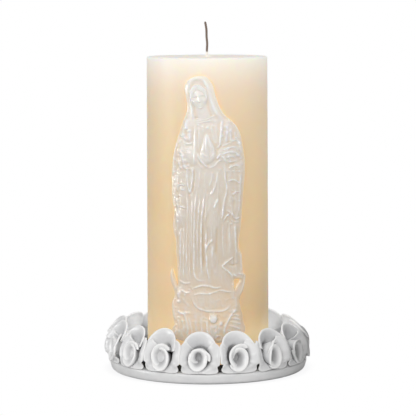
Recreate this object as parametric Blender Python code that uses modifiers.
"""Unity candle standing in a hand-built ceramic rose dish.

Frame: metres, +Z up, origin at the centre of the dish's flat underside.
The relief figure on the candle faces -Y; left is -X and right is +X.

Loose pieces:
  dish_tray            glazed ceramic saucer with a recess for the candle and a raised rim
  rose_NN_bud          rolled strip at the heart of each of the 16 roses
  rose_NN_wrap_petal   side petals, one strip wrapped under the bud from left to right
  rose_NN_back_petal   upright petal arching over the bud
  candle_pillar        wax pillar, drilled for the wick, with a seat for the wick tab
  wick, wick_tab       cotton wick and the steel tab at its foot
  figure_relief        cast wax relief of a veiled praying figure, at the pillar's front
"""

import math

import bmesh
import bpy
import numpy as np

MM = 0.001

# ---------------------------------------------------------------- dimensions
TRAY_BASE_R = 71.6 * MM
TRAY_RIM_R = 73.4 * MM
TRAY_RIM_Z = 8.3 * MM
TRAY_RECESS_R = 55.5 * MM     # the flat floor the candle stands on
TRAY_FLOOR_Z = 4.2 * MM
TRAY_STEPS = 64

CANDLE_R = 45.0 * MM
CANDLE_BOTTOM_Z = TRAY_FLOOR_Z + 0.3 * MM
CANDLE_TOP_Z = 231.2 * MM
CANDLE_TOP_EDGE = 1.2 * MM    # softened edge
CANDLE_FOOT_EDGE = 0.8 * MM   # chamfer
CANDLE_STEPS = 48

WICK_R = 0.95 * MM
WICK_HOLE_R = WICK_R + 0.4 * MM
WICK_TOP_Z = 257.0 * MM
WICK_BENDS = 10               # segments above the wax

TAB_R = 9.0 * MM
TAB_NECK_R = 2.2 * MM
TAB_PLATE_T = 0.5 * MM
TAB_HEIGHT = 6.0 * MM
TAB_Z = CANDLE_BOTTOM_Z + 0.15 * MM
TAB_STEPS = 28

# Stepped hole in the candle's foot that takes the tab; heights above the table
TAB_SEAT_R = TAB_R + 0.6 * MM
TAB_SEAT_Z = CANDLE_BOTTOM_Z + 1.2 * MM
TAB_NECK_HOLE_R = TAB_NECK_R + 0.5 * MM
TAB_NECK_HOLE_Z = CANDLE_BOTTOM_Z + 6.6 * MM
WICK_HOLE_Z = TAB_NECK_HOLE_Z + 0.8 * MM   # the hole narrows to the wick's here

ROSES = 16
ROSE_FIRST_DEG = -5.2         # rose 01, measured from -Y towards +X
ROSE_BACK_R = 61.5 * MM       # distance from the candle's axis to a rose's base
ROSE_AXIS_Z = 17.96 * MM      # height of a rose's axis at its base
ROSE_TILT = math.radians(10.0)
PETAL_T = 1.1 * MM

# Bud: a strip rolled inwards about the rose's axis
BUD_START = math.radians(38.0)
BUD_TURN = math.radians(560.0)
BUD_R_OUT = 8.4 * MM
BUD_R_IN = 3.4 * MM
BUD_TIGHTENING = 1.6          # exponent; above 1 the roll tightens towards its inner end
BUD_BASE = 0.9 * MM           # along the rose's axis
BUD_LIP = 12.6 * MM           # along the rose's axis, at the strip's outer end
BUD_LIP_DROP = 1.2 * MM       # the lip's fall by the strip's inner end
BUD_FLARE = 0.55 * MM         # outward flare at the lip

# Cup: the surface that the wrap and back petals are cut from.
# It runs from a pinched back (0) over a shoulder (CUP_SHOULDER_AT) to a lip (1).
CUP_PETAL_FROM = 0.12         # the petals start this far along it
CUP_SHOULDER_AT = 0.3
CUP_PINCH_R, CUP_PINCH_REACH = 2.4 * MM, -3.0 * MM
CUP_SHOULDER_R, CUP_SHOULDER_REACH = 8.4 * MM, -0.6 * MM
CUP_FLARE = 1.4               # exponent of the widening from shoulder to lip
LIP_R_TOP = 18.2 * MM
LIP_R_SIDE = 12.9 * MM
LIP_R_BOTTOM = 9.3 * MM
LIP_REACH_SIDE = 13.2 * MM
LIP_SETBACK_TOP = 8.4 * MM
LIP_SETBACK_BOTTOM = 1.6 * MM

# Directions about the rose's axis, from right (0) towards up (90)
WRAP_DEG = (150.0, 390.0)
BACK_DEG = (36.5, 143.5)

RELIEF_BACK_R = CANDLE_R + 0.35 * MM   # the relief's back follows the pillar
RELIEF_EDGE_T = 1.2 * MM
RELIEF_COLUMNS = 10
RELIEF_ROWS = 36

# Side outlines of the relief: (height above the table, arc length from the front line), mm.
# Arc length is taken on the pillar's wall, positive to the right.
RELIEF_LEFT = (
    (25.5, -18.0), (29.0, -25.5), (31.0, -27.0), (37.0, -26.3), (45.0, -26.8),
    (52.0, -27.0), (60.0, -25.0), (70.0, -27.6), (78.0, -25.6), (84.0, -22.6),
    (99.0, -23.6), (111.0, -25.6), (121.0, -25.0), (141.0, -27.0), (149.0, -26.8),
    (158.0, -25.7), (166.0, -24.0), (173.0, -22.0), (179.0, -19.6), (184.0, -18.0),
    (191.0, -15.3), (197.0, -14.4), (203.0, -15.2), (210.0, -16.1), (213.5, -14.8),
    (216.3, -12.5), (218.3, -10.0),
)
RELIEF_RIGHT = (
    (25.5, 18.0), (29.0, 24.5), (31.0, 26.5), (34.0, 28.2), (39.5, 26.8),
    (50.5, 24.3), (56.0, 23.6), (63.0, 26.7), (70.0, 28.2), (75.0, 26.8),
    (88.0, 25.2), (94.0, 23.0), (99.0, 23.0), (108.0, 24.5), (128.5, 26.3),
    (139.0, 27.4), (148.6, 28.3), (157.5, 27.9), (166.4, 26.5), (174.4, 25.0),
    (180.0, 22.4), (185.6, 17.8), (190.5, 12.2), (196.7, 8.5), (204.6, 5.9),
    (211.6, 3.9), (216.0, 0.6), (218.3, -2.0),
)
# Crown of the relief: (height above the table, thickness midway between its sides), mm
RELIEF_CROWN = (
    (25.5, 1.6), (33.0, 3.6), (45.0, 4.4), (58.0, 3.8), (75.0, 3.8), (110.0, 4.4),
    (140.0, 5.2), (160.0, 6.2), (178.0, 5.4), (188.0, 4.2), (198.0, 5.0),
    (208.0, 5.6), (215.0, 4.0), (218.3, 1.8),
)


# ---------------------------------------------------------------- scene helpers
for old in list(bpy.data.objects):
    bpy.data.objects.remove(old, do_unlink=True)

candle_set = bpy.data.collections.new("unity_candle")
bpy.context.scene.collection.children.link(candle_set)


def material(name, colour, roughness, metallic=0.0):
    mat = bpy.data.materials.new(name)
    mat.use_nodes = True
    inputs = mat.node_tree.nodes["Principled BSDF"].inputs
    inputs["Base Color"].default_value = (*colour, 1.0)
    inputs["Roughness"].default_value = roughness
    inputs["Metallic"].default_value = metallic
    return mat


def empty(name, parent=None):
    """A frame at the origin."""
    node = bpy.data.objects.new(name, None)
    node.empty_display_size = 0.02
    node.parent = parent
    candle_set.objects.link(node)
    return node


def add(name, data, mat, parent):
    obj = bpy.data.objects.new(name, data)
    if not obj.data.materials:  # the roses share their meshes
        obj.data.materials.append(mat)
    obj.parent = parent
    candle_set.objects.link(obj)
    return obj


def turned(name, profile, closed, steps, mat, parent):
    """Turns a profile of (radius, height) about Z. It runs down its outer side."""
    mesh = bpy.data.meshes.new(name)
    bm = bmesh.new()
    verts = [bm.verts.new((radius, 0.0, z)) for radius, z in profile]
    for start, end in zip(verts, verts[1:]):
        bm.edges.new((start, end))
    if closed:
        bm.edges.new((verts[-1], verts[0]))
    bm.to_mesh(mesh)
    bm.free()
    screw = add(name, mesh, mat, parent).modifiers.new("Screw", "SCREW")
    screw.axis = "Z"
    screw.angle = 2.0 * math.pi
    screw.steps = steps
    screw.render_steps = steps
    screw.use_merge_vertices = True
    screw.merge_threshold = 0.00001
    screw.use_smooth_shade = True


def flat_grid(columns, rows):
    """A flat grid, 1 by 1, centred on the origin."""
    bm = bmesh.new()
    bmesh.ops.create_grid(bm, x_segments=columns, y_segments=rows, size=0.5)
    return bm


def lay_out(verts, place):
    """Moves flat grid points to place(across, along), both running from 0 to 1."""
    for vert in verts:
        vert.co = place(vert.co.x + 0.5, vert.co.y + 0.5)


def finish(bm, name, sharp_deg):
    mesh = bpy.data.meshes.new(name)
    bm.to_mesh(mesh)
    bm.free()
    mesh.shade_smooth()
    mesh.set_sharp_from_angle(angle=math.radians(sharp_deg))
    return mesh


def mix(start, end, share):
    return start + (end - start) * share


# ---------------------------------------------------------------- turned pieces
def build_tray(mat, parent):
    profile = [
        # recess: floor, fillet and wall
        (0.0, TRAY_FLOOR_Z),
        (TRAY_RECESS_R, TRAY_FLOOR_Z),
        (TRAY_RECESS_R + 1.6 * MM, TRAY_FLOOR_Z + 1.4 * MM),
        (TRAY_RECESS_R + 2.0 * MM, TRAY_RIM_Z - 0.8 * MM),
        # rim
        (TRAY_RECESS_R + 3.2 * MM, TRAY_RIM_Z),
        (TRAY_RIM_R - 1.2 * MM, TRAY_RIM_Z),
        (TRAY_RIM_R, TRAY_RIM_Z - 1.0 * MM),
        # outer wall and underside
        (TRAY_BASE_R + 1.2 * MM, 3.4 * MM),
        (TRAY_BASE_R, 0.8 * MM),
        (TRAY_BASE_R - 1.0 * MM, 0.0),
        (0.0, 0.0),
    ]
    turned("dish_tray", profile, False, TRAY_STEPS, mat, parent)


def build_pillar(mat, parent):
    edge_step = 0.35 * CANDLE_TOP_EDGE
    profile = [
        # top: a low collar round the wick, a shallow dip and the softened edge
        (WICK_HOLE_R, CANDLE_TOP_Z + 0.6 * MM),
        (2.6 * MM, CANDLE_TOP_Z + 0.5 * MM),
        (6.0 * MM, CANDLE_TOP_Z - 0.3 * MM),
        (CANDLE_R - CANDLE_TOP_EDGE, CANDLE_TOP_Z),
        (CANDLE_R - edge_step, CANDLE_TOP_Z - edge_step),
        (CANDLE_R, CANDLE_TOP_Z - CANDLE_TOP_EDGE),
        # foot
        (CANDLE_R, CANDLE_BOTTOM_Z + CANDLE_FOOT_EDGE),
        (CANDLE_R - CANDLE_FOOT_EDGE, CANDLE_BOTTOM_Z),
        # stepped hole for the wick tab, narrowing to the wick's
        (TAB_SEAT_R, CANDLE_BOTTOM_Z),
        (TAB_SEAT_R, TAB_SEAT_Z),
        (TAB_NECK_HOLE_R, TAB_SEAT_Z),
        (TAB_NECK_HOLE_R, TAB_NECK_HOLE_Z),
        (WICK_HOLE_R, WICK_HOLE_Z),
    ]
    turned("candle_pillar", profile, True, CANDLE_STEPS, mat, parent)


def build_wick_tab(mat, parent):
    top = TAB_Z + TAB_HEIGHT
    plate_top = TAB_Z + TAB_PLATE_T
    profile = [
        (WICK_HOLE_R, top),
        (TAB_NECK_R - 0.2 * MM, top),
        (TAB_NECK_R, top - 0.6 * MM),
        (TAB_NECK_R, plate_top),
        (TAB_R, plate_top),
        (TAB_R, TAB_Z),
        (WICK_HOLE_R, TAB_Z),
    ]
    turned("wick_tab", profile, True, TAB_STEPS, mat, parent)


# ---------------------------------------------------------------- wick
WICK_LEAN = 1.15 * MM                 # towards -X at the tip
WICK_WAVE_X = (0.30 * MM, 4.2)        # amplitude, radians over the free length
WICK_WAVE_Y = (0.25 * MM, 6.0)


def wick_point(z):
    """The wick is straight in the wax and leans and waves a little above it."""
    rise = max(0.0, (z - CANDLE_TOP_Z) / (WICK_TOP_Z - CANDLE_TOP_Z))
    ease = min(1.0, 4.0 * rise)  # the bending comes in over the first quarter
    wave_x, wave_y = (size * math.sin(rate * rise) for size, rate in (WICK_WAVE_X, WICK_WAVE_Y))
    return ((wave_x - WICK_LEAN * rise**3) * ease, wave_y * ease, z)


def build_wick(mat, parent):
    curve = bpy.data.curves.new("wick", "CURVE")
    curve.dimensions = "3D"
    curve.bevel_depth = WICK_R
    curve.bevel_resolution = 1
    curve.use_fill_caps = True
    heights = [TAB_Z + 0.1 * MM, CANDLE_TOP_Z * 0.5]
    heights += [mix(CANDLE_TOP_Z, WICK_TOP_Z, i / WICK_BENDS) for i in range(WICK_BENDS + 1)]
    spline = curve.splines.new("POLY")
    spline.points.add(len(heights) - 1)
    for point, z in zip(spline.points, heights):
        point.co = (*wick_point(z), 1.0)
    add("wick", curve, mat, parent)


# ---------------------------------------------------------------- roses
def rose_point(angle, radius, reach):
    """A point of the rose at the front of the dish. The angle runs from +X (right)
    towards up about the rose's axis, radius is the distance from that axis and reach
    the distance along it, outwards. The axis leans up by ROSE_TILT."""
    sideways, up = radius * math.cos(angle), radius * math.sin(angle)
    outward = ROSE_BACK_R + reach * math.cos(ROSE_TILT) - up * math.sin(ROSE_TILT)
    z = ROSE_AXIS_Z + reach * math.sin(ROSE_TILT) + up * math.cos(ROSE_TILT)
    return (sideways, -outward, z)


def bud_place(across, along):
    radius = BUD_R_OUT - PETAL_T + (BUD_R_IN - BUD_R_OUT) * across**BUD_TIGHTENING
    reach = mix(BUD_BASE, BUD_LIP - BUD_LIP_DROP * across, along)
    return rose_point(BUD_START + BUD_TURN * across, radius + BUD_FLARE * along**2, reach)


def lip_radius(angle):
    """Two half ellipses that meet at the sides, the upper one taller."""
    cosine, sine = math.cos(angle), math.sin(angle)
    upright = LIP_R_TOP if sine > 0 else LIP_R_BOTTOM
    return 1.0 / math.hypot(cosine / LIP_R_SIDE, sine / upright)


def lip_reach(angle):
    """Furthest out at the sides, furthest back at the top."""
    sine = math.sin(angle)
    setback = LIP_SETBACK_TOP * max(0.0, sine) ** 1.5
    return LIP_REACH_SIDE - setback - LIP_SETBACK_BOTTOM * max(0.0, -sine) ** 2


def cup_point(angle, along):
    if along < CUP_SHOULDER_AT:
        share = along / CUP_SHOULDER_AT
        radius = mix(CUP_PINCH_R, CUP_SHOULDER_R, share)
        reach = mix(CUP_PINCH_REACH, CUP_SHOULDER_REACH, share**2)
    else:
        share = (along - CUP_SHOULDER_AT) / (1.0 - CUP_SHOULDER_AT)
        radius = mix(CUP_SHOULDER_R, lip_radius(angle), share**CUP_FLARE)
        reach = mix(CUP_SHOULDER_REACH, lip_reach(angle), share)
    return rose_point(angle, radius, reach)


def wrap_place(across, along):
    return cup_point(math.radians(mix(*WRAP_DEG, across)), mix(CUP_PETAL_FROM, 1.0, along))


def back_place(across, along):
    return cup_point(math.radians(mix(*BACK_DEG, across)), mix(CUP_PETAL_FROM, 1.0, along))


# (part, columns, rows, layout)
ROSE_PARTS = (
    ("bud", 16, 1, bud_place),
    ("wrap_petal", 10, 3, wrap_place),
    ("back_petal", 5, 3, back_place),
)


def build_roses(mat, parent):
    meshes = {}
    for part, columns, rows, place in ROSE_PARTS:
        bm = flat_grid(columns, rows)
        lay_out(bm.verts, place)
        meshes[part] = finish(bm, f"rose_{part}", sharp_deg=60.0)

    for i in range(ROSES):
        rose = f"rose_{i + 1:02d}"
        axis = empty(f"{rose}_axis", parent)
        axis.rotation_euler.z = math.radians(ROSE_FIRST_DEG + 360.0 / ROSES * i)
        for part, mesh in meshes.items():
            petal = add(f"{rose}_{part}", mesh, mat, axis)
            solid = petal.modifiers.new("Solidify", "SOLIDIFY")
            solid.thickness = PETAL_T
            solid.offset = 1.0
            solid.use_even_offset = False


# ---------------------------------------------------------------- relief
def read_table(table, z):
    """Straight-line reading of a table in mm at height z; both lengths in metres."""
    heights, values = zip(*table)
    return float(np.interp(z / MM, heights, values)) * MM


def relief_point(across, along, thickness):
    z = mix(RELIEF_LEFT[0][0], RELIEF_LEFT[-1][0], along) * MM
    arc = mix(read_table(RELIEF_LEFT, z), read_table(RELIEF_RIGHT, z), across)
    radius = RELIEF_BACK_R + thickness(across, z)
    angle = arc / CANDLE_R
    return (radius * math.sin(angle), -radius * math.cos(angle), z)


def relief_thickness(across, z):
    """Thin at the sides and bowed out to the crown between them."""
    bow = max(0.0, 1.0 - abs(2.0 * across - 1.0) ** 3)
    return mix(RELIEF_EDGE_T, read_table(RELIEF_CROWN, z), bow)


def build_relief(mat, parent):
    bm = flat_grid(RELIEF_COLUMNS, RELIEF_ROWS)
    back = list(bm.verts)
    extruded = bmesh.ops.extrude_face_region(bm, geom=list(bm.faces), use_keep_orig=True)
    front = [item for item in extruded["geom"] if isinstance(item, bmesh.types.BMVert)]
    lay_out(front, lambda across, along: relief_point(across, along, relief_thickness))
    lay_out(back, lambda across, along: relief_point(across, along, lambda *_: 0.0))
    bmesh.ops.recalc_face_normals(bm, faces=bm.faces)
    add("figure_relief", finish(bm, "figure_relief", sharp_deg=50.0), mat, parent)


# ---------------------------------------------------------------- assembly
ivory_wax = material("ivory_wax", colour=(0.80, 0.66, 0.45), roughness=0.42)
pearl_wax = material("pearl_wax", colour=(0.80, 0.75, 0.70), roughness=0.28)
white_glaze = material("white_glaze", colour=(0.78, 0.79, 0.80), roughness=0.25)
cotton = material("waxed_cotton", colour=(0.26, 0.20, 0.16), roughness=0.85)
tin = material("tinned_steel", colour=(0.62, 0.62, 0.60), roughness=0.35, metallic=1.0)

dish_frame = empty("dish_frame")
lift_axis = empty("candle_lift_axis", dish_frame)
turn_axis = empty("candle_turn_axis", lift_axis)

build_tray(white_glaze, dish_frame)
build_pillar(ivory_wax, turn_axis)
build_wick_tab(tin, lift_axis)
build_wick(cotton, lift_axis)
build_roses(white_glaze, dish_frame)
build_relief(pearl_wax, turn_axis)

bpy.context.view_layer.update()
